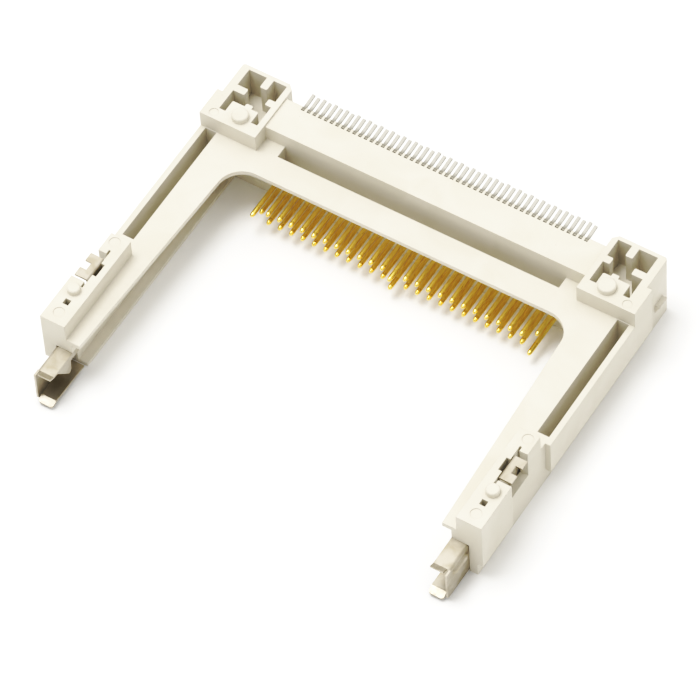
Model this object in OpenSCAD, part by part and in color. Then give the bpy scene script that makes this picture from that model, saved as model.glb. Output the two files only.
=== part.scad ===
// Board-mounted header frame for a 50-contact memory card, shown card side down.
// X runs along the contact rows, +Y towards the solder tails, +Z towards the board.
// Z = 0 is the underside of the frame. In the modules Y = 0 is the front of the two corner
// blocks, and placed() then moves the origin to the line between the two corner pegs.
// All sizes are in millimetres.

/* [Frame] */
// height of the moulding from its underside to the board plane
body_h = 7.8; // [7.5:0.1:8.4]
// height of the thin deck that carries the arms
deck_z = 5.8; // [5.5:0.1:6.0]
// thickness of the deck
deck_t = 0.5; // [0.4:0.1:0.6]
// depth of the step in the outer skin
skin_deep = 0.55; // [0.4:0.05:0.65]
// height of the step in the outer skin
skin_step = 1.6; // [1.2:0.1:2.0]
// how far the arms reach forward of the corner blocks
arm_len = 27.56; // [26.5:0.1:30]
// forward edge of the deck between the arms
deck_front = 2.4; // [2.0:0.1:2.8]
// radius of the deck's inner corners
deck_r = 2.6; // [2:0.1:3.6]
// reach of the deck over the card's edge at the inner corners
deck_over = 2.7; // [2.4:0.05:3]
// reach of the deck over the card's edge at the arm tips
deck_over_tip = 1.8; // [1.6:0.05:2.1]

/* [Card space] */
// width of the card
card_w = 42.8; // [42.6:0.1:42.9]
// thickness of the card
card_t = 3.3; // [3.2:0.1:3.4]
// play between the card and each wall
card_play = 0.05; // [0.03:0.01:0.1]
// thickness of the two rails below the card
rail_t = 0.45; // [0.35:0.05:0.55]
// reach of a rail below the card's edge
rail_over = 1.05; // [0.75:0.05:1.3]
// reach of a guide above the card's edge
guide_over = 0.85; // [0.6:0.05:1.1]
// length at the arm tips where the card grooves stay open for the springs
groove_open = 1.75; // [1.5:0.05:2.2]

/* [Header bar] */
// thickness of the wall between the header bar's end and the pocket
bar_wall = 0.62; // [0.5:0.02:0.8]
// depth of the raised bar's front wall behind the corner blocks' front
bar_front = 1.75; // [1.5:0.05:2]
// depth of the header bar's rear wall
bar_back = 5.62; // [5.55:0.01:5.8]
// drop of the bar's top below the board plane
bar_drop = 0.25; // [0.15:0.05:0.35]
// place of the face that the pins leave behind the blocks' front
root_y = 0; // [-0.1:0.05:0.15]
// length of the header bar at each end of the slot between deck and bar
slot_end = 2.14; // [1.8:0.02:2.5]
// front of the slot between deck and bar
slot_front = 0.4; // [0.3:0.05:0.6]
// thickness of the wall between the slot's floor and the holes of the upper pins
slot_wall = 0.3; // [0.2:0.05:0.6]

/* [Corner blocks] */
// depth of the corner blocks
block_y = 7.1; // [6.9:0.1:7.4]
// place of the step in the blocks' outer side
block_step = 3.22; // [3:0.1:3.4]
// width of the cored pocket
pocket_w = 4.25; // [4:0.05:4.4]
// thickness of the wall outside the cored pocket
pocket_wall = 0.83; // [0.7:0.01:0.9]
// front of the cored pocket
pocket_front = 1.35; // [1.2:0.05:1.5]
// rear of the cored pocket
pocket_back = 6.69; // [6.5:0.05:6.8]
// height of the pocket's floor
pocket_floor = 4.18; // [3.9:0.1:4.6]
// thickness of the pocket's ribs
rib_t = 0.78; // [0.6:0.02:0.9]
// length of the rib at the pocket's rear
rib_rear = 1.29; // [1:0.05:1.6]
// length of the rib at the pocket's outer side
rib_outer = 1.24; // [1:0.05:1.5]
// length of the rib at the pocket's inner side
rib_inner = 0.71; // [0.5:0.05:1]
// place of the rear rib inside the pocket's middle
rib_x_shift = 0.27; // [0.1:0.05:0.4]
// place of the side ribs behind the pocket's middle
rib_y_shift = 0.2; // [0:0.05:0.4]
// radius of the corners of the ribs
rib_r = 0.15; // [0.05:0.01:0.3]
// place of a corner peg inside the card's edge
peg_inset = 1.35; // [1.2:0.05:1.5]
// place of the corner pegs behind the blocks' front
peg_y = 1.35; // [1.2:0.01:1.45]
// reach of the mass below a corner peg towards the middle
mass_in = 1.18; // [1.1:0.02:1.3]
// reach of the mass below a corner peg towards the outside
mass_out = 1.7; // [1.5:0.05:1.9]
// reach of the mass behind a corner peg's centre
mass_back = 1.37; // [1.2:0.01:1.6]
// depth of the small nub behind the mass
nub_len = 0.38; // [0.2:0.02:0.5]
// width of the small nub behind the mass
nub_w = 0.75; // [0.5:0.05:1]
// size of the bevel at the block's rear inner corner
block_bevel = 0.53; // [0.3:0.01:0.8]
// radius of the block's rear outer corner
block_r = 0.3; // [0.1:0.05:0.5]
// front of the snap nub on the block's outer side
snap_y = 4.62; // [4.4:0.02:4.9]
// length of the snap nub
snap_len = 1.43; // [1.2:0.01:1.7]
// height where the snap nub's slope starts
snap_low = 2.1; // [1.9:0.05:2.4]
// top of the snap nub
snap_top = 3.25; // [3:0.05:3.5]
// radius of the left board peg on the corner block
peg_left_r = 0.83; // [0.7:0.01:0.85]
// radius of the right board peg on the corner block
peg_right_r = 0.9; // [0.86:0.01:1]
// height of the board pegs above the board plane
peg_h = 0.6; // [0.5:0.05:1.2]
// size of the chamfer at the tip of a peg
peg_chamfer = 0.1; // [0.03:0.01:0.2]

/* [Arms] */
// thickness of the wall between the card and the push rod channel
rod_skin = 0.58; // [0.5:0.01:0.65]
// width of the push rod channel
rod_w = 1.24; // [1.16:0.01:1.3]
// thickness of the strip outside the push rod channel
strip_t = 0.58; // [0.5:0.01:0.7]
// front end of the push rod channel
rod_front = 14.62; // [14:0.1:15]
// thickness of the wall at the channel's front end
rod_wall = 0.78; // [0.6:0.02:1]
// height of the channel's floor
rod_floor = 2.4; // [2.3:0.1:2.8]
// length of the raised arm-end blocks
end_len = 11.36; // [11:0.1:11.8]
// reach of the raised arm-end blocks over the card's edge
end_over = 0.3; // [0.15:0.05:0.5]
// place of an arm-end peg inside the arm's outer side
end_peg_inset = 1.17; // [1.1:0.01:1.2]
// place of the arm-end pegs behind the arm tips
end_peg_back = 4.0; // [3.85:0.01:4.1]
// radius of the left board peg on the arm end
end_peg_left_r = 0.63; // [0.5:0.01:0.65]
// radius of the right board peg on the arm end
end_peg_right_r = 0.68; // [0.66:0.01:0.8]
// place of the rear spring slot behind the arm tips
seat_back = 4.69; // [4.5:0.01:4.8]
// length of the rear spring slot
seat_len = 4.9; // [4.7:0.1:5.2]
// place of the recess for the solder tab behind the arm tips
notch_back = 5.36; // [5.2:0.02:5.5]
// length of the recess for the solder tab
notch_len = 3.75; // [3.5:0.05:4]
// height of the recess for the solder tab
notch_low = 4.5; // [4.3:0.1:5]
// width of the cored hole beside the spring slot
core_w = 0.4; // [0.3:0.05:0.5]
// place of the cored hole beside the spring slot behind the arm tips
core_back = 6.39; // [6.2:0.05:6.6]
// length of the cored hole beside the spring slot
core_len = 1.52; // [1.3:0.02:1.7]
// height of the floor of the cored hole beside the spring slot
core_low = 5.0; // [4.8:0.1:5.4]
// side of the square cored hole in front of the peg
square_w = 0.62; // [0.5:0.02:0.7]
// place of the square cored hole inside the arm-end peg
square_inset = 0.13; // [0.05:0.01:0.15]
// place of the square cored hole behind the arm tips
square_back = 2.29; // [2.1:0.05:2.4]
// height of the floor of the square cored hole
square_low = 4.6; // [4.4:0.1:5]
// radius of the ejector pin marks on the corner blocks
mark_block_r = 0.47; // [0.4:0.01:0.5]
// radius of the ejector pin marks on the arm ends
mark_end_r = 0.56; // [0.4:0.01:0.6]
// depth of the ejector pin marks
mark_deep = 0.06; // [0.03:0.01:0.1]
// place of the marks on the corner blocks inside the arm's outer side
mark_block_inset = 1.2; // [1.1:0.05:1.4]
// place of the marks on the corner blocks behind the blocks' front
mark_block_y = 0.68; // [0.6:0.01:0.72]
// place of the rear marks on the arm ends inside the arm's outer side
mark_rear_inset = 1.4; // [1.3:0.05:1.6]
// place of the rear marks in front of the arm-end blocks' rear
mark_rear_back = 0.75; // [0.65:0.01:0.8]
// place of the front marks on the arm ends inside the arm's outer side
mark_front_inset = 1.3; // [1.2:0.05:1.5]
// place of the front marks behind the arm tips
mark_front_back = 1.25; // [1.1:0.01:1.4]

/* [Contacts] */
// pitch of the pins in a row
pin_pitch = 1.27; // [1.27:0.01:1.27]
// radius of a pin
pin_r = 0.24; // [0.2:0.01:0.26]
// radius of the flat end of a pin
pin_end_r = 0.1; // [0.06:0.01:0.14]
// length of a pin's tapered tip
pin_taper = 0.33; // [0.2:0.01:0.4]
// height of the lower row of pins
row_low = 1.46; // [1.4:0.02:1.5]
// distance between the two rows
row_gap = 1.27; // [1.2:0.01:1.3]
// reach of a regular pin forward of the blocks' front
pin_reach = 4.24; // [4:0.02:4.4]
// difference between long, regular and short pins
pin_stagger = 0.75; // [0.6:0.05:0.8]
// width of a leg and its solder tail
tail_w = 0.3; // [0.24:0.01:0.32]
// thickness of a leg and its solder tail
tail_t = 0.22; // [0.18:0.01:0.26]
// reach of the tails behind the blocks' front
tail_y = 7.22; // [6.9:0.01:7.5]
// drop of a tail's heel below the board plane
heel_drop = 0.28; // [0.2:0.01:0.35]
// outer radius of a tail's heel
heel_r = 0.3; // [0.28:0.01:0.36]
// drop of a tail's tip below the board plane
tip_drop = 0.16; // [0.05:0.01:0.18]
// length that a tail of the upper row is longer than one of the lower row
tail_stagger = 0.12; // [0:0.02:0.2]
// height of a contact's flat shank
shank_h = 0.36; // [0.3:0.01:0.4]
// length of a round pin behind the face that it leaves
pin_root = 0.7; // [0.5:0.05:1]
// depth of a leg's front face in the bar's rear wall
leg_recess = 0.45; // [0.35:0.01:0.55]
// depth of the comb grooves below the lower row
groove_drop = 0.46; // [0.3:0.02:0.6]
// play at each side of a contact in its hole and comb groove
contact_play = 0.03; // [0.02:0.01:0.04]

/* [Ground springs] */
// thickness of the spring sheet
sheet_t = 0.2; // [0.15:0.01:0.25]
// distance from the card's edge to the upright sheet
sheet_gap = 0.75; // [0.7:0.01:0.77]
// height of the sheet's underside in front of the arm
sheet_low = 0.35; // [0.2:0.05:0.5]
// reach of the spring forward of the arm
spring_reach = 3.84; // [3.5:0.02:4.2]
// reach of the spring's top plate inside the upright sheet
spring_w = 1.6; // [1.5:0.05:1.7]
// reach of the spring's lower leaf inside the upright sheet
leaf_w = 1.75; // [1.5:0.05:1.9]
// height of the spring's top plate
spring_z = 4.1; // [4:0.05:4.15]
// play between the sheet and its slot
sheet_play = 0.02; // [0.01:0.01:0.04]
// outer radius of the sheet's bends
bend_r = 0.3; // [0.28:0.01:0.36]
// place of the sheet's rear edge behind the arm tips
sheet_back = 8.66; // [8.5:0.02:8.8]
// gap between the sheet's shoulders and the underside and the board plane
sheet_drop = 0.9; // [0.7:0.05:1.1]
// place of the solder tab behind the arm tips
tab_back = 5.63; // [5.5:0.01:5.7]
// length of the solder tab
tab_len = 2.81; // [2.7:0.01:2.9]
// width of each finger of the solder tab
finger_w = 0.95; // [0.8:0.05:1.1]
// reach of the fingers outside the upright sheet
finger_reach = 1.48; // [1.3:0.02:1.55]
// reach of the edge between the fingers outside the upright sheet
web_reach = 0.8; // [0.6:0.05:1]
// height of the tab above the board plane
tab_rise = 0.04; // [0.02:0.01:0.06]
// place of the lip's bend behind the sheet's front edge
lip_back = 0.68; // [0.6:0.02:0.8]
// reach of the lip in front of its bend
lip_len = 0.62; // [0.5:0.02:0.7]
// rise of the lip's free edge above the top plate
lip_rise = 0.24; // [0.15:0.01:0.3]
// lowest point of the flange at the top plate's inner edge
flange_low = 1.93; // [1.8:0.05:2.2]
// radius of the flange's lowest point
flange_r = 0.32; // [0.25:0.01:0.4]
// place of the flange's front edge behind the sheet's front edge
flange_front = 1.25; // [1:0.05:1.5]
// place of the flange's lowest point behind the sheet's front edge
flange_y = 3.1; // [2.8:0.05:3.3]
// height of the flange behind its lowest point
flange_h = 0.5; // [0.3:0.05:0.7]
// height of the lower leaf's underside at its root
leaf_root = 0.5; // [0.4:0.05:0.6]
// height of the lower leaf's top at its front
leaf_top = 0.8; // [0.75:0.05:0.9]
// length of the leaf's foot that is bent down
foot_len = 0.7; // [0.6:0.05:0.8]
// drop of the foot along its length
foot_drop = 0.28; // [0.2:0.02:0.4]
// place of the foot's bend behind the sheet's front edge
foot_back = 0.35; // [0.25:0.05:0.45]
// radius of the foot's two corners
foot_r = 0.3; // [0.1:0.05:0.5]
// gap between the leaf and the arm's rail behind it
leaf_gap = 0.49; // [0.3:0.01:0.7]
// length of the slit between the sheet and the leaf, from the foot's bend
slit_len = 1.45; // [1.3:0.05:1.6]
// width of the slit between the sheet and the leaf
slit_w = 0.12; // [0.08:0.01:0.2]
// radius of the bead in the sheet
bead_r = 0.54; // [0.45:0.01:0.6]
// length of the bead between its round ends
bead_len = 1.6; // [1.4:0.1:1.8]
// place of the bead's rear end behind the sheet's front edge
bead_back = 3.15; // [3:0.05:3.2]
// height of the bead's middle
bead_z = 3.1; // [3:0.05:3.2]
// height that the bead stands out from the sheet
bead_rise = 0.28; // [0.2:0.01:0.3]

/* [Hidden] */
eps = 0.05;
over = 1;
bevel_side = block_bevel * sqrt(2);
card_half = card_w / 2 + card_play;
card_top = rail_t + card_t + card_play;
rail_in = card_half - rail_over;
guide_in = card_half - guide_over;
gap_in = card_half - deck_over;
gap_out = card_half - deck_over_tip;
peg_x = card_half - peg_inset;
end_in = card_half - end_over;
rod_in = card_half + rod_skin;
rod_out = rod_in + rod_w;
arm_out = rod_out + strip_t;
skin_in = arm_out - skin_deep;
pocket_out = skin_in - pocket_wall;
pocket_in = pocket_out - pocket_w;
bar_half = pocket_in - bar_wall;
slot_half = bar_half - slot_end;
end_peg_x = arm_out - end_peg_inset;
sheet_x = card_half + sheet_gap;
spring_in = sheet_x - spring_w;
leaf_in = sheet_x - leaf_w;
finger_out = sheet_x + finger_reach;
web_out = sheet_x + web_reach;
deck_low = deck_z - deck_t;
tip_y = -arm_len;
front_y = tip_y - spring_reach;
rail_y = tip_y + groove_open;
row_up = row_low + row_gap;
slot_floor = row_up + pin_r + contact_play + slot_wall;
col_n = 25;
contact_n = 2 * col_n;
first_x = -pin_pitch * (col_n - 1) / 2;
tail_shift = pin_pitch / 4;
shoulder_y = root_y + pin_root;
leg_y = bar_back - leg_recess;
heel_z = body_h - heel_drop - heel_r;
groove_low = row_low - groove_drop;
heel_turn = 102;
end_peg_y = tip_y + end_peg_back;
notch_y = tip_y + notch_back;

function arc(cx, cy, r, a0, a1, n) =
    [for (i = [0:n]) let (a = a0 + (a1 - a0) * i / n) [cx + r * cos(a), cy + r * sin(a)]];
function column(i) = i > col_n ? i - col_n : i;
function is_low(i) = i > col_n;
function pin_x(i) = first_x + pin_pitch * (column(i) - 1);
function pin_z(i) = is_low(i) ? row_low : row_up;
function tail_x(i) = pin_x(i) + (is_low(i) ? tail_shift : -tail_shift);
function is_long(i) = (i == 1) || (i == 13) || (i == 38) || (i == 50);
function is_short(i) = (i == 25) || (i == 26);
function reach(i) = pin_reach + (is_long(i) ? pin_stagger : (is_short(i) ? -pin_stagger : 0));
function two(i) = str(i < 10 ? "0" : "", i);

// a box given by its low and high corner
module block(low, high) {
    translate(low) cube(high - low);
}

// a flat shape in Y and Z, drawn as [y, z] points and made thick along X
module side_plate(x, w) {
    translate([x, 0, 0])
        rotate([90, 0, 90])
            linear_extrude(w)
                children();
}

// a flat shape in X and Z, drawn as [x, z] points and made thick along Y
module front_plate(y, w) {
    translate([0, y + w, 0])
        rotate([90, 0, 0])
            linear_extrude(w)
                children();
}

// an upright post with rounded corners, given by its low and high corner
module post(low, high, r) {
    size = high - low;
    translate(low)
        linear_extrude(size[2])
            union() {
                translate([r, 0]) square([size[0] - 2 * r, size[1]]);
                translate([0, r]) square([size[0], size[1] - 2 * r]);
                for (x = [r, size[0] - r], y = [r, size[1] - r])
                    translate([x, y]) circle(r = r, $fn = 24);
            }
}

// what rounding takes off an upright outer corner whose tip lies at [x, y]
module corner_waste(x, y, r, side) {
    difference() {
        translate([x - r, side > 0 ? y - r : y - over, -over])
            cube([r + over, r + over, body_h + 2 * over]);
        translate([x - r, y - side * r, -2 * over])
            cylinder(r = r, h = body_h + 4 * over, $fn = 24);
    }
}

// the right half of the thin deck, with its rounded inner corner
module deck_half() {
    translate([0, 0, deck_low])
        linear_extrude(deck_t)
            union() {
                polygon([
                    [0, -deck_front],
                    [gap_in, -deck_front],
                    [gap_in, -deck_front - deck_r],
                    [gap_out, tip_y],
                    [rod_in + eps, tip_y],
                    [rod_in + eps, bar_front + eps],
                    [0, bar_front + eps]
                ]);
                difference() {
                    translate([gap_in - deck_r, -deck_front - deck_r])
                        square([deck_r + eps, deck_r + eps]);
                    translate([gap_in - deck_r, -deck_front - deck_r])
                        circle(r = deck_r, $fn = 64);
                }
            }
}

// one arm with its card groove, rod channel and raised end
module arm_solid() {
    // wall between the card groove and the outside, up to the deck
    block([guide_in, tip_y, 0], [skin_in, eps, deck_z]);
    // rail below the card
    block([rail_in, rail_y, 0], [card_half + eps, eps, rail_t]);
    // outer strip beside the push rod channel
    block([skin_in - eps, -rod_front - rod_wall, skin_step], [arm_out, eps, deck_z]);
    // thick foot of the arm end
    block([skin_in - eps, tip_y, skin_step], [arm_out, notch_y, deck_z + eps]);
    // raised end that stands on the board
    block([end_in, tip_y, deck_z - eps], [skin_in, tip_y + end_len, body_h]);
    block([skin_in - eps, tip_y, deck_z - eps], [arm_out, notch_y, body_h]);
}

// one corner block with the snap nub on its outer side
module block_solid() {
    block([bar_half, 0, 0], [skin_in, block_y, body_h]);
    block([skin_in - eps, 0, skin_step], [arm_out, block_step, body_h]);
    front_plate(snap_y, snap_len)
        polygon([
            [skin_in - eps, snap_low],
            [skin_in, snap_low],
            [arm_out, snap_top],
            [skin_in - eps, snap_top]
        ]);
}

// the pocket with its ribs and the mass below the peg left standing
module block_pocket() {
    low = pocket_floor - over;
    high = body_h + 2 * over;
    rib_x = (pocket_in + pocket_out) / 2 - rib_x_shift;
    rib_y = (pocket_front + pocket_back) / 2 + rib_y_shift;
    mass_y = peg_y + mass_back;
    difference() {
        block([pocket_in, pocket_front, pocket_floor], [pocket_out, pocket_back, body_h + over]);
        // mass below the board peg, with its small nub
        post([peg_x - mass_in, pocket_front - over, low], [peg_x + mass_out, mass_y, high], rib_r);
        post([peg_x - nub_w / 2, mass_y - over, low],
             [peg_x + nub_w / 2, mass_y + nub_len, high], rib_r);
        // rear rib
        post([rib_x - rib_t / 2, pocket_back - rib_rear, low],
             [rib_x + rib_t / 2, pocket_back + over, high], rib_r);
        // side ribs
        post([pocket_out - rib_outer, rib_y - rib_t / 2, low],
             [pocket_out + over, rib_y + rib_t / 2, high], rib_r);
        post([pocket_in - over, rib_y - rib_t / 2, low],
             [pocket_in + rib_inner, rib_y + rib_t / 2, high], rib_r);
    }
}

// the ejector pin marks on the faces that stand on the board
module ejector_marks() {
    z = body_h - mark_deep;
    translate([arm_out - mark_block_inset, mark_block_y, z])
        cylinder(r = mark_block_r, h = over, $fn = 32);
    translate([arm_out - mark_rear_inset, tip_y + end_len - mark_rear_back, z])
        cylinder(r = mark_end_r, h = over, $fn = 32);
    translate([arm_out - mark_front_inset, tip_y + mark_front_back, z])
        cylinder(r = mark_end_r, h = over, $fn = 32);
}

// the passages in the raised arm end for the upright sheet, and the two small cored holes
module end_holes() {
    seat_x = sheet_x + sheet_t + sheet_play;
    seat_y = tip_y + seat_back;
    core_y = tip_y + core_back;
    square_x = end_peg_x - square_inset - square_w / 2;
    square_y = tip_y + square_back;
    // slot of the upright sheet, open at the underside
    block([sheet_x, seat_y, -over], [seat_x, seat_y + seat_len, body_h + over]);
    block([sheet_x, tip_y - over, -over], [seat_x, seat_y + eps, spring_z + sheet_play]);
    // recess that lets the solder tab bend outwards
    block([seat_x - eps, notch_y, notch_low], [arm_out + over, notch_y + notch_len, body_h + over]);
    // cored hole beside the slot
    block([sheet_x - core_w, core_y, core_low],
          [sheet_x + eps, core_y + core_len, body_h + over]);
    // square cored hole in front of the peg
    block([square_x, square_y, square_low],
          [square_x + square_w, square_y + square_w, body_h + over]);
}

// the space at the arm tip where the spring stands
module tip_space() {
    block([guide_in - over, tip_y - over, -over], [sheet_x, rail_y, spring_z + sheet_play]);
}

// passage of one contact through the header and its comb groove
module contact_hole(i) {
    x = pin_x(i);
    z = pin_z(i);
    t = tail_x(i);
    front = root_y - 2 * pin_root;
    low = min(x - pin_r, t - tail_w / 2) - contact_play;
    high = max(x + pin_r, t + tail_w / 2) + contact_play;
    translate([x, front, z])
        rotate([-90, 0, 0])
            cylinder(r = pin_r + contact_play, h = shoulder_y - front + 2 * eps, $fn = 24);
    block([low, shoulder_y, z - shank_h / 2], [high, leg_y + eps, z + shank_h / 2]);
    block([t - tail_w / 2 - contact_play, leg_y, groove_low],
          [t + tail_w / 2 + contact_play, bar_back + over, body_h + over]);
}

// the four pegs that locate the frame on its board
module board_pegs() {
    translate([-peg_x, peg_y, body_h - eps]) peg(peg_left_r);
    translate([peg_x, peg_y, body_h - eps]) peg(peg_right_r);
    translate([-end_peg_x, end_peg_y, body_h - eps]) peg(end_peg_left_r);
    translate([end_peg_x, end_peg_y, body_h - eps]) peg(end_peg_right_r);
}

// a round peg with a small chamfer at its tip
module peg(r) {
    straight = peg_h - peg_chamfer + eps;
    cylinder(r = r, h = straight, $fn = 48);
    translate([0, 0, straight]) cylinder(r1 = r, r2 = r - peg_chamfer, h = peg_chamfer, $fn = 48);
}

// the moulding: frame, arms, corner blocks and header bar in one piece
module housing() {
    color([0.94, 0.92, 0.84])
    difference() {
        union() {
            for (s = [0, 1]) mirror([s, 0, 0]) {
                deck_half();
                arm_solid();
                block_solid();
            }
            // raised header bar
            block([-bar_half - eps, bar_front, 0], [bar_half + eps, bar_back, body_h - bar_drop]);
            // lower step of the header, which the pins leave, closed up to the deck at both ends
            block([-bar_half - eps, root_y, 0], [bar_half + eps, bar_front + eps, deck_z]);
            board_pegs();
        }
        // card space between rails, guides and the header's lower step
        block([-card_half, tip_y - over, rail_t], [card_half, root_y, card_top]);
        // open middle below the deck and between the rails
        block([-guide_in, tip_y - over, card_top - eps], [guide_in, -eps, deck_low]);
        block([-rail_in, tip_y - over, -over], [rail_in, root_y, rail_t + eps]);
        // slot between the deck and the bar
        block([-slot_half, slot_front, slot_floor], [slot_half, bar_front, deck_z + over]);
        for (s = [0, 1]) mirror([s, 0, 0]) {
            block([rod_in, -rod_front, rod_floor], [rod_out, -eps, deck_z + over]);
            block_pocket();
            corner_waste(skin_in, block_y, block_r, 1);
            ejector_marks();
            end_holes();
            tip_space();
            // bevel at the block's rear inner corner
            translate([bar_half, block_y, body_h / 2])
                rotate([0, 0, 45])
                    cube([bevel_side, bevel_side, body_h + 2 * over], center = true);
        }
        for (i = [1:contact_n]) contact_hole(i);
    }
}

// one contact: pin, shank, leg and solder tail in one piece
module contact(i) {
    x = pin_x(i);
    z = pin_z(i);
    t = tail_x(i);
    low = min(x - pin_r, t - tail_w / 2);
    high = max(x + pin_r, t + tail_w / 2);
    len = reach(i) + shoulder_y + eps;
    end = tail_y + (is_low(i) ? -tail_stagger : tail_stagger) / 2;
    end_z = body_h - tip_drop;
    color([0.78, 0.58, 0.17])
    union() {
        // round pin with a tapered tip
        translate([x, -reach(i), z])
            rotate([-90, 0, 0])
                rotate_extrude($fn = 24)
                    polygon([
                        [0, 0],
                        [pin_end_r, 0],
                        [(pin_end_r + 2 * pin_r) / 3, pin_taper / 3],
                        [pin_r, pin_taper],
                        [pin_r, len],
                        [0, len]
                    ]);
        // flat shank that shifts the leg sideways
        block([low, shoulder_y, z - shank_h / 2], [high, leg_y, z + shank_h / 2]);
        // leg up the comb groove and the tail out behind
        side_plate(t - tail_w / 2, tail_w)
            polygon(concat(
                [[leg_y - eps, z - shank_h / 2], [leg_y + tail_t, z - shank_h / 2]],
                arc(leg_y + heel_r, heel_z, heel_r - tail_t, 180, heel_turn, 3),
                [[end, end_z - tail_t], [end, end_z]],
                arc(leg_y + heel_r, heel_z, heel_r, heel_turn, 180, 4),
                [[leg_y, z + shank_h / 2], [leg_y - eps, z + shank_h / 2]]
            ));
    }
}

// a round-ended bar along Y, used for the bead in the spring
module bead(x, y) {
    for (p = [y, y - bead_len]) translate([x, p, bead_z]) sphere(r = bead_r, $fn = 24);
    translate([x, y, bead_z]) rotate([90, 0, 0]) cylinder(r = bead_r, h = bead_len, $fn = 24);
}

// the upright sheet: rear part in the slot, front part beside the card
module upright_sheet() {
    shoulder = body_h - sheet_drop;
    tab_top = body_h + tab_rise - bend_r;
    tab_front = tip_y + tab_back;
    tab_rear = tab_front + tab_len;
    side_plate(sheet_x, sheet_t)
        polygon([
            [tip_y + sheet_back, sheet_drop],
            [tip_y + sheet_back, shoulder],
            [tab_rear, shoulder + bend_r],
            [tab_rear, tab_top],
            [tab_front, tab_top],
            [tab_front, shoulder + bend_r],
            [tab_front - bend_r, shoulder],
            [tab_front - bend_r, spring_z - bend_r],
            [front_y + lip_back + eps, spring_z - bend_r],
            [front_y + lip_back + eps, spring_z - eps],
            [front_y, spring_z - eps],
            [front_y, sheet_low + sheet_t],
            [front_y + sheet_t, sheet_low],
            [rail_y, sheet_low],
            [rail_y + sheet_drop - sheet_low, sheet_drop]
        ]);
}

// the solder tab bent outwards at the board, with its two fingers and the edge between them
module solder_tab() {
    tab_front = tip_y + tab_back;
    top = body_h + tab_rise;
    gap = tab_len - 2 * finger_w;
    strips = [
        [tab_front, finger_w, finger_out],
        [tab_front + finger_w - eps, gap + 2 * eps, web_out],
        [tab_front + tab_len - finger_w, finger_w, finger_out]
    ];
    for (f = strips)
        front_plate(f[0], f[1])
            polygon(concat(
                [[sheet_x, top - bend_r - eps]],
                arc(sheet_x + bend_r, top - bend_r, bend_r, 180, 90, 4),
                [[f[2], top], [f[2], top - sheet_t]],
                arc(sheet_x + bend_r, top - bend_r, bend_r - sheet_t, 90, 180, 3),
                [[sheet_x + sheet_t, top - bend_r - eps]]
            ));
}

// the top plate with its rounded outer bend, its lip flared upwards and its inner flange
module top_plate() {
    outer = sheet_x + sheet_t - bend_r;
    plate_low = spring_z - sheet_t;
    lip_y = front_y + lip_back;
    lip_tip = lip_y - lip_len;
    front_plate(lip_y, rail_y - bend_r - lip_y)
        polygon(concat(
            [[spring_in, plate_low], [spring_in, spring_z]],
            arc(outer, spring_z - bend_r, bend_r, 90, 0, 4),
            [[sheet_x, spring_z - bend_r]],
            arc(outer, spring_z - bend_r, bend_r - sheet_t, 0, 90, 3)
        ));
    side_plate(spring_in, sheet_x - sheet_t - spring_in)
        polygon([
            [lip_y + eps, plate_low],
            [lip_y + eps, spring_z],
            [lip_y, spring_z],
            [lip_tip, spring_z + lip_rise],
            [lip_tip, spring_z + lip_rise - sheet_t],
            [lip_y, plate_low]
        ]);
    side_plate(spring_in, sheet_t)
        polygon(concat(
            [[front_y + flange_front, plate_low + eps], [front_y + flange_front, plate_low]],
            arc(front_y + flange_y, flange_low + flange_r, flange_r, 225, 360, 6),
            [
                [front_y + flange_y + flange_r + eps, plate_low - flange_h],
                [rail_y - leaf_gap, plate_low - flange_h],
                [rail_y - leaf_gap, plate_low + eps]
            ]
        ));
}

// the lower leaf that slopes up to the front, its foot bent down, and the slit that frees them
module lower_leaf() {
    bend_y = front_y + foot_back;
    toe_y = bend_y - foot_len;
    toe_z = leaf_top - foot_drop;
    free_x = sheet_x - slit_w;
    difference() {
        side_plate(leaf_in, sheet_x + eps - leaf_in)
            polygon([
                [rail_y - leaf_gap, leaf_root],
                [rail_y - leaf_gap, leaf_root + sheet_t],
                [bend_y, leaf_top],
                [toe_y, toe_z],
                [toe_y, toe_z - sheet_t + eps],
                [toe_y + eps, toe_z - sheet_t],
                [bend_y, leaf_top - sheet_t - eps]
            ]);
        block([free_x, toe_y - over, -over], [sheet_x + over, bend_y + slit_len, body_h]);
        corner_waste(free_x, toe_y, foot_r, -1);
        translate([2 * leaf_in, 0, 0])
            mirror([1, 0, 0])
                corner_waste(leaf_in, toe_y, foot_r, -1);
    }
}

// the right-hand spring; the left one is its mirror image
module ground_clip() {
    bead_x = sheet_x + sheet_t + bead_rise - bead_r;
    bead_y = front_y + bead_back;
    color([0.78, 0.75, 0.7])
    union() {
        difference() {
            union() {
                upright_sheet();
                bead(bead_x, bead_y);
            }
            bead(bead_x - sheet_t, bead_y);
            block([sheet_x - over, bead_y - bead_len - bead_r - eps, bead_z - bead_r - eps],
                  [sheet_x, bead_y + bead_r + eps, bead_z + bead_r + eps]);
        }
        solder_tab();
        top_plate();
        lower_leaf();
    }
}

// moves the origin to the line between the two corner pegs
module placed() {
    translate([0, -peg_y, 0]) children();
}

placed() housing();
for (i = [1:contact_n]) placed() contact(i);
placed() mirror([1, 0, 0]) ground_clip();  // ground_clip_left
placed() ground_clip();  // ground_clip_right
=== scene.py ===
# %% [markdown]
# The object is a header for a memory card. It is soldered to a circuit board and shows here
# with its board side up: one ivory moulding, fifty contacts and two small ground springs.
# Every solid comes from the imported CAD model, which is the fixed frame for the looks.

# %% Load the frame
import math

import bpy
import numpy as np
from mathutils import Matrix, Vector

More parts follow.
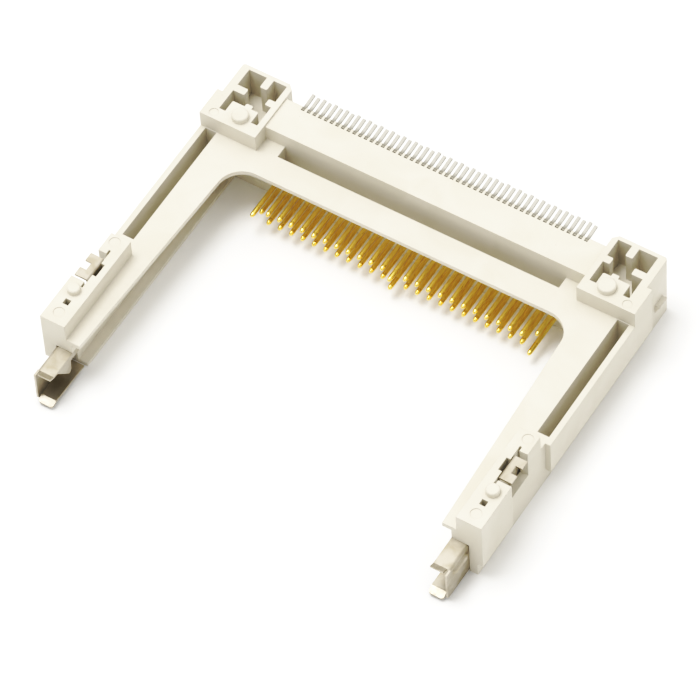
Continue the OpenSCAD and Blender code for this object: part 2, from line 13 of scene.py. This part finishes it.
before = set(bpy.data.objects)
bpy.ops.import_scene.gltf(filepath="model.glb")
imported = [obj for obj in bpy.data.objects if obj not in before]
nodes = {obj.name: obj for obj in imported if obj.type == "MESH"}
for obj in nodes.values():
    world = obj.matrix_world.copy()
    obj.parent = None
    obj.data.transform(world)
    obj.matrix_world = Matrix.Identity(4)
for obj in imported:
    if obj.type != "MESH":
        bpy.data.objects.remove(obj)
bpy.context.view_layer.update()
MM = 0.001

# %% [markdown]
# The photograph was taken with a long lens from the front right, well above the part, and the
# camera leaned a little to one side. Its place, three angles and lens reproduce that view.
# They were solved from points whose spacing is known, above all the pins at 1.27 mm. A camera
# looks along its own -Z axis, so its matrix has the columns right, up and back.

# %% Place the camera
AZIMUTH, ELEVATION, ROLL = (math.radians(a) for a in (35.0996, 54.2766, -4.2414))
CAMERA_AT = Vector((185.797, -277.760, 449.454)) * MM
LENS_MM = 303.9
SENSOR_MM = 36


def camera_matrix(azimuth, elevation, roll, place):
    """The view direction from two angles, then right and up turned about it by the roll."""
    ahead = Vector((-math.sin(azimuth) * math.cos(elevation),
                    math.cos(azimuth) * math.cos(elevation),
                    -math.sin(elevation)))
    level = ahead.cross(Vector((0, 0, 1))).normalized()
    upright = level.cross(ahead)
    right = level * math.cos(roll) + upright * math.sin(roll)
    up = right.cross(ahead)
    turned = Matrix((right, up, -ahead)).transposed().to_4x4()
    return Matrix.Translation(place) @ turned


camera = bpy.data.objects.new("camera", bpy.data.cameras.new("camera"))
bpy.context.scene.collection.objects.link(camera)
camera.matrix_world = camera_matrix(AZIMUTH, ELEVATION, ROLL, CAMERA_AT)
camera.data.lens = LENS_MM
camera.data.sensor_width = SENSOR_MM
camera.data.clip_start = 0.05
camera.data.clip_end = 20
bpy.context.scene.camera = camera
print("camera is", round(CAMERA_AT.length, 3), "m from the origin")

# %% [markdown]
# Colours are picked on screen as sRGB hex values, but Blender mixes light in linear values.
# One function turns one into the other: above a small dark part the curve is a power of 2.4.
# A second one adds a node to a material, sets its options and fills or links its inputs.

# %% Colour and node helpers
def linear(hex_colour):
    """Linear red, green, blue and alpha of an sRGB colour written as six hex digits."""
    srgb = np.array([int(hex_colour[i:i + 2], 16) for i in (0, 2, 4)]) / 255
    low = srgb / 12.92
    high = ((srgb + 0.055) / 1.055) ** 2.4
    return (*np.where(srgb <= 0.04045, low, high).tolist(), 1.0)


def put(tree, kind, options=None, inputs=None):
    """Adds one node. An input's value is a number, a colour or the output of another node."""
    node = tree.nodes.new(kind)
    for name, value in (options or {}).items():
        setattr(node, name, value)
    for name, value in (inputs or {}).items():
        if isinstance(value, bpy.types.NodeSocket):
            tree.links.new(value, node.inputs[name])
        else:
            node.inputs[name].default_value = value
    return node


def new_material(name):
    """An empty node material with its output, and the object coordinates to start from."""
    material = bpy.data.materials.new(name)
    material.use_nodes = True
    tree = material.node_tree
    tree.nodes.clear()
    output = put(tree, "ShaderNodeOutputMaterial")
    place = put(tree, "ShaderNodeTexCoord").outputs["Object"]
    return material, tree, output, place


def per_mm(size):
    """The scale that makes one cell of a noise texture this many millimetres wide."""
    return 1 / (size * MM)


print("ivory in linear light:", [round(c, 3) for c in linear("D5CFC0")])

# %% [markdown]
# The frame is moulded from glass-filled liquid crystal polymer, the usual plastic for
# connectors that go through a solder oven. It is opaque and ivory, with the satin skin of a
# spark-eroded mould, faint flow clouds some millimetres wide and a few tiny dark specks. Its
# grain of 0.03 mm would be finer than a pixel, so it is drawn 0.16 mm wide and very shallow.
# Moulded edges are never sharp: a bevel node rounds them by 0.07 mm in the shading alone.

# %% Moulded polymer
CLOUD_MM = 5
SPECK_MM = 2.2
GRAIN_MM = 0.16
MOULDED_EDGE_MM = 0.07


def moulded_polymer():
    """Ivory satin plastic: cloudy colour, rare specks, fine grain and softened edges."""
    material, tree, output, place = new_material("moulded_liquid_crystal_polymer")
    clouds = put(tree, "ShaderNodeTexNoise", None,
                 {"Vector": place, "Scale": per_mm(CLOUD_MM), "Detail": 3.0, "Distortion": 0.8})
    cloud_part = put(tree, "ShaderNodeMapRange", None,
                     {"Value": clouds.outputs["Fac"], "From Min": 0.35, "From Max": 0.65})
    ivory = put(tree, "ShaderNodeMix", {"data_type": "RGBA"},
                {"Factor": cloud_part.outputs["Result"],
                 "A": linear("D5CFC0"), "B": linear("CFC9B8")})
    specks = put(tree, "ShaderNodeTexVoronoi", None,
                 {"Vector": place, "Scale": per_mm(SPECK_MM)})
    speck_part = put(tree, "ShaderNodeMapRange", None,
                     {"Value": specks.outputs["Distance"], "From Min": 0.02, "From Max": 0.035,
                      "To Min": 0.25, "To Max": 0.0})
    colour = put(tree, "ShaderNodeMix", {"data_type": "RGBA"},
                 {"Factor": speck_part.outputs["Result"],
                  "A": ivory.outputs["Result"], "B": linear("8F8468")})
    grain = put(tree, "ShaderNodeTexNoise", None,
                {"Vector": place, "Scale": per_mm(GRAIN_MM), "Detail": 2.0})
    rough = put(tree, "ShaderNodeMapRange", None,
                {"Value": grain.outputs["Fac"], "To Min": 0.38, "To Max": 0.52})
    rounded = put(tree, "ShaderNodeBevel", {"samples": 6}, {"Radius": MOULDED_EDGE_MM * MM})
    bump = put(tree, "ShaderNodeBump", None,
               {"Height": grain.outputs["Fac"], "Strength": 0.25, "Distance": 0.006 * MM,
                "Normal": rounded.outputs["Normal"]})
    skin = put(tree, "ShaderNodeBsdfPrincipled", None,
               {"Base Color": colour.outputs["Result"], "Roughness": rough.outputs["Result"],
                "IOR": 1.55, "Normal": bump.outputs["Normal"]})
    tree.links.new(skin.outputs["BSDF"], output.inputs["Surface"])
    return material


polymer = moulded_polymer()
print(polymer.name, "has", len(polymer.node_tree.nodes), "nodes")

# %% [markdown]
# Each contact is drawn phosphor bronze wire and strip. The pin that meets the card is gold
# plated over nickel, and the leg and tail that meet the solder are tin plated. The plating
# changes inside the header, so one material serves the whole contact: gold in front of a
# line across Y, tin behind it. Drawing leaves fine lines along the wire, 0.03 mm apart, which
# are drawn 0.08 mm apart to show. The tin is more matt than the gold. Its colour is darker up
# to the heel and over the bend, which is painted shade. The tips of the pins are coined smooth
# and catch a white glint.

# %% Gold and tin plating
GOLD_ENDS, TIN_STARTS = 0.27 * MM, 0.47 * MM
# Painted shade on the tin fades out between these two points, just behind the heel.
HEEL_SHADE_ENDS, TAIL_STARTS = 4.1 * MM, 4.7 * MM
TIP_ENDS, BODY_STARTS = -5.25 * MM, -4.85 * MM
DRAWN_LINE_MM = 0.08
WIRE_EDGE_MM = 0.03
TIN_ROUGHNESS = 0.45
TIP_SMOOTHER = 0.6


def plated_bronze():
    """Metal with lines along Y that changes from gold to tin along Y, in colour and in gloss."""
    material, tree, output, place = new_material("plated_phosphor_bronze")
    along = put(tree, "ShaderNodeSeparateXYZ", None, {"Vector": place}).outputs["Y"]
    tin_part = put(tree, "ShaderNodeMapRange", None,
                   {"Value": along, "From Min": GOLD_ENDS, "From Max": TIN_STARTS})
    # Painted shade: the tin is coloured darker from the plating line up to and over the heel
    # bend, and lighter along the tail.
    heel_shade_part = put(tree, "ShaderNodeMapRange", None,
                    {"Value": along, "From Min": HEEL_SHADE_ENDS, "From Max": TAIL_STARTS})
    tin_with_heel_shade = put(tree, "ShaderNodeMix", {"data_type": "RGBA"},
              {"Factor": heel_shade_part.outputs["Result"],
               "A": linear("6F6B60"), "B": linear("A8A59C")})
    stretched = put(tree, "ShaderNodeMapping", None,
                    {"Vector": place, "Scale": (1.0, 0.05, 1.0)})
    lines = put(tree, "ShaderNodeTexNoise", None,
                {"Vector": stretched.outputs["Vector"], "Scale": per_mm(DRAWN_LINE_MM),
                 "Detail": 2.0})
    gold = put(tree, "ShaderNodeMix", {"data_type": "RGBA"},
               {"Factor": lines.outputs["Fac"], "A": linear("F8D66C"), "B": linear("FBDF84")})
    colour = put(tree, "ShaderNodeMix", {"data_type": "RGBA"},
                 {"Factor": tin_part.outputs["Result"],
                  "A": gold.outputs["Result"], "B": tin_with_heel_shade.outputs["Result"]})
    body_rough = put(tree, "ShaderNodeMapRange", None,
                     {"Value": lines.outputs["Fac"], "To Min": 0.24, "To Max": 0.34})
    tip_part = put(tree, "ShaderNodeMapRange", None,
                   {"Value": along, "From Min": TIP_ENDS, "From Max": BODY_STARTS,
                    "To Min": TIP_SMOOTHER, "To Max": 1.0})
    gold_rough = put(tree, "ShaderNodeMath", {"operation": "MULTIPLY"},
                     {0: body_rough.outputs["Result"], 1: tip_part.outputs["Result"]})
    rough = put(tree, "ShaderNodeMix", {"data_type": "FLOAT"},
                {"Factor": tin_part.outputs["Result"],
                 "A": gold_rough.outputs["Value"], "B": TIN_ROUGHNESS})
    rounded = put(tree, "ShaderNodeBevel", {"samples": 4}, {"Radius": WIRE_EDGE_MM * MM})
    bump = put(tree, "ShaderNodeBump", None,
               {"Height": lines.outputs["Fac"], "Strength": 0.05, "Distance": 0.002 * MM,
                "Normal": rounded.outputs["Normal"]})
    metal = put(tree, "ShaderNodeBsdfPrincipled", None,
                {"Base Color": colour.outputs["Result"], "Metallic": 1.0,
                 "Roughness": rough.outputs["Result"], "Normal": bump.outputs["Normal"]})
    tree.links.new(metal.outputs["BSDF"], output.inputs["Surface"])
    return material


plating = plated_bronze()
print(plating.name, "has", len(plating.node_tree.nodes), "nodes")

# %% [markdown]
# The two springs are stamped and bent from rolled strip, 0.2 mm thick, with a matt tin
# finish. Rolling lines run along the strip, and handling has left soft grey-brown stains a
# millimetre or two wide. That gives a warm grey metal that shines in broad, blurred streaks.

# %% Spring strip
ROLLED_LINE_MM = 0.1
STAIN_MM = 1.4
STRIP_EDGE_MM = 0.02


def rolled_strip():
    """Warm grey metal with long rolling lines and soft stains."""
    material, tree, output, place = new_material("tin_plated_spring_strip")
    stretched = put(tree, "ShaderNodeMapping", None,
                    {"Vector": place, "Scale": (1.0, 0.04, 1.0)})
    lines = put(tree, "ShaderNodeTexNoise", None,
                {"Vector": stretched.outputs["Vector"], "Scale": per_mm(ROLLED_LINE_MM),
                 "Detail": 3.0})
    stains = put(tree, "ShaderNodeTexNoise", None,
                 {"Vector": place, "Scale": per_mm(STAIN_MM), "Detail": 3.0, "Distortion": 0.5})
    stain_part = put(tree, "ShaderNodeMapRange", None,
                     {"Value": stains.outputs["Fac"], "From Min": 0.4, "From Max": 0.65})
    colour = put(tree, "ShaderNodeMix", {"data_type": "RGBA"},
                 {"Factor": stain_part.outputs["Result"],
                  "A": linear("BCB5A6"), "B": linear("AAA18D")})
    rough = put(tree, "ShaderNodeMapRange", None,
                {"Value": lines.outputs["Fac"], "To Min": 0.24, "To Max": 0.6})
    rounded = put(tree, "ShaderNodeBevel", {"samples": 4}, {"Radius": STRIP_EDGE_MM * MM})
    bump = put(tree, "ShaderNodeBump", None,
               {"Height": lines.outputs["Fac"], "Strength": 0.4, "Distance": 0.003 * MM,
                "Normal": rounded.outputs["Normal"]})
    metal = put(tree, "ShaderNodeBsdfPrincipled", None,
                {"Base Color": colour.outputs["Result"], "Metallic": 1.0,
                 "Roughness": rough.outputs["Result"], "Normal": bump.outputs["Normal"]})
    tree.links.new(metal.outputs["BSDF"], output.inputs["Surface"])
    return material


strip = rolled_strip()
print(strip.name, "has", len(strip.node_tree.nodes), "nodes")

# %% [markdown]
# The CAD solids keep their shapes and only change their finish. Each mesh came in with the
# plain colour of its material slot, so that one slot is filled anew for every node.

# %% Dress the solids
for name, node in nodes.items():
    finish = polymer
    if name.startswith("contact_"):
        finish = plating
    elif name.startswith("ground_clip_"):
        finish = strip
    node.data.materials.clear()
    node.data.materials.append(finish)
print("dressed", len(nodes), "nodes")

# %% [markdown]
# The part lies on a seamless white sheet, as in a product photograph. The sheet is one large
# grid, flat everywhere, so a single surface of two parameters makes it. It is white enough
# to burn out, and the soft shadows below the arms are all that shows of it.

# %% White sheet
SHEET_HALF = 3.0
SHEET_LINES = 9
TOOTH_MM = 3


def flat_sheet(name, half_size, lines):
    """A square grid: x and y run evenly from minus to plus half_size, and z is zero."""
    line = np.linspace(-half_size, half_size, lines)
    x, y = np.meshgrid(line, line, indexing="ij")
    points = np.stack([x, y, np.zeros_like(x)], axis=-1).reshape(-1, 3)
    corner = (np.arange(lines - 1)[:, None] * lines + np.arange(lines - 1)[None, :]).ravel()
    faces = np.stack([corner, corner + lines, corner + lines + 1, corner + 1], axis=1)
    mesh = bpy.data.meshes.new(name)
    mesh.from_pydata(points.tolist(), [], faces.tolist())
    sheet = bpy.data.objects.new(name, mesh)
    bpy.context.scene.collection.objects.link(sheet)
    return sheet


def white_paper():
    """Matt white paper with a barely visible tooth."""
    material, tree, output, place = new_material("white_paper")
    tooth = put(tree, "ShaderNodeTexNoise", None, {"Vector": place, "Scale": per_mm(TOOTH_MM)})
    tint = put(tree, "ShaderNodeMix", {"data_type": "RGBA"},
               {"Factor": tooth.outputs["Fac"], "A": linear("F2F2F2"), "B": linear("F4F4F3")})
    paper = put(tree, "ShaderNodeBsdfPrincipled", None,
                {"Base Color": tint.outputs["Result"], "Roughness": 0.9,
                 "Specular IOR Level": 0.1})
    tree.links.new(paper.outputs["BSDF"], output.inputs["Surface"])
    return material


floor = flat_sheet("floor", SHEET_HALF, SHEET_LINES)
floor.data.materials.append(white_paper())
print("floor has", len(floor.data.polygons), "faces")

# %% [markdown]
# The part stands in a white light tent. Its roof is brighter than its sides, so the tops are
# brighter than the walls. The tent has an opening for the camera, which is a darker patch in
# its wall. One soft box hangs above, a little to the left and to the front. It adds to the
# tops, draws the soft shadows beside the arms and lights the bent feet of the springs, while
# their flat plates mirror the tent behind the part and stay grey.

# %% Light
SIDE_STRENGTH = 0.52
ROOF_STRENGTH = 1.4
ROOF_HEIGHT = 0.9
OPENING_STRENGTH = 0.42
OPENING_RIM, OPENING_CORE = 0.75, 0.95
KEY_AT_MM = (-215, -60, 870)
KEY_SIZE = 0.4
KEY_WATTS = 4.9


def light_tent():
    """A white world, stronger high up and weaker round the photograph's point of view.

    The opening is where a direction's dot product with the camera's direction is near one.
    """
    world = bpy.data.worlds.new("white_light_tent")
    world.use_nodes = True
    tree = world.node_tree
    background = tree.nodes["Background"]
    direction = put(tree, "ShaderNodeTexCoord").outputs["Generated"]
    height = put(tree, "ShaderNodeSeparateXYZ", None, {"Vector": direction}).outputs["Z"]
    strength = put(tree, "ShaderNodeMapRange", None,
                   {"Value": height, "From Min": 0.0, "From Max": ROOF_HEIGHT,
                    "To Min": SIDE_STRENGTH, "To Max": ROOF_STRENGTH})
    toward_camera = put(tree, "ShaderNodeVectorMath", {"operation": "DOT_PRODUCT"},
                        {0: direction, 1: CAMERA_AT.normalized()})
    opening = put(tree, "ShaderNodeMapRange", {"interpolation_type": "SMOOTHSTEP"},
                  {"Value": toward_camera.outputs["Value"],
                   "From Min": OPENING_RIM, "From Max": OPENING_CORE,
                   "To Min": 1.0, "To Max": OPENING_STRENGTH})
    seen = put(tree, "ShaderNodeMath", {"operation": "MULTIPLY"},
               {0: strength.outputs["Result"], 1: opening.outputs["Result"]})
    background.inputs["Color"].default_value = linear("FFFEFB")
    tree.links.new(seen.outputs["Value"], background.inputs["Strength"])
    return world


bpy.context.scene.world = light_tent()


def soft_box(name, place_mm, size, watts):
    """A square area light that faces the origin."""
    light = bpy.data.lights.new(name, "AREA")
    light.size = size
    light.energy = watts
    box = bpy.data.objects.new(name, light)
    box.location = Vector(place_mm) * MM
    box.rotation_mode = "QUATERNION"
    box.rotation_quaternion = (-box.location).to_track_quat("-Z", "Y")
    bpy.context.scene.collection.objects.link(box)
    return box


key = soft_box("key_soft_box", KEY_AT_MM, KEY_SIZE, KEY_WATTS)
print("key light is", round(key.location.length, 2), "m away")

# %% [markdown]
# A camera doesn't keep light as it is. Its curve deepens the darkest shadows, lifts the middle
# a little and bends over near white, so that bright ivory stays just below white while the
# paper burns out. The same curve runs on red, green and blue, which is why dim hollows in
# ivory look brown.

# %% Camera curve
CURVE = ((0.0, 0.0), (0.1, 0.072), (0.25, 0.285), (0.5, 0.56), (0.75, 0.775), (1.04, 0.945),
         (1.18, 1.0))
ALL_THREE = 3


def camera_curve(points):
    """Bends scene light into picture light, alike for the three colours."""
    settings = bpy.context.scene.view_settings
    settings.view_transform = "Standard"
    settings.use_curve_mapping = True
    mapping = settings.curve_mapping
    mapping.use_clip = False
    combined = mapping.curves[ALL_THREE]
    combined.points[0].location = points[0]
    combined.points[-1].location = points[-1]
    for light, shown in points[1:-1]:
        combined.points.new(light, shown)
    mapping.update()
    return combined


curve = camera_curve(CURVE)
print("curve points:", [tuple(round(v, 3) for v in p.location) for p in curve.points])
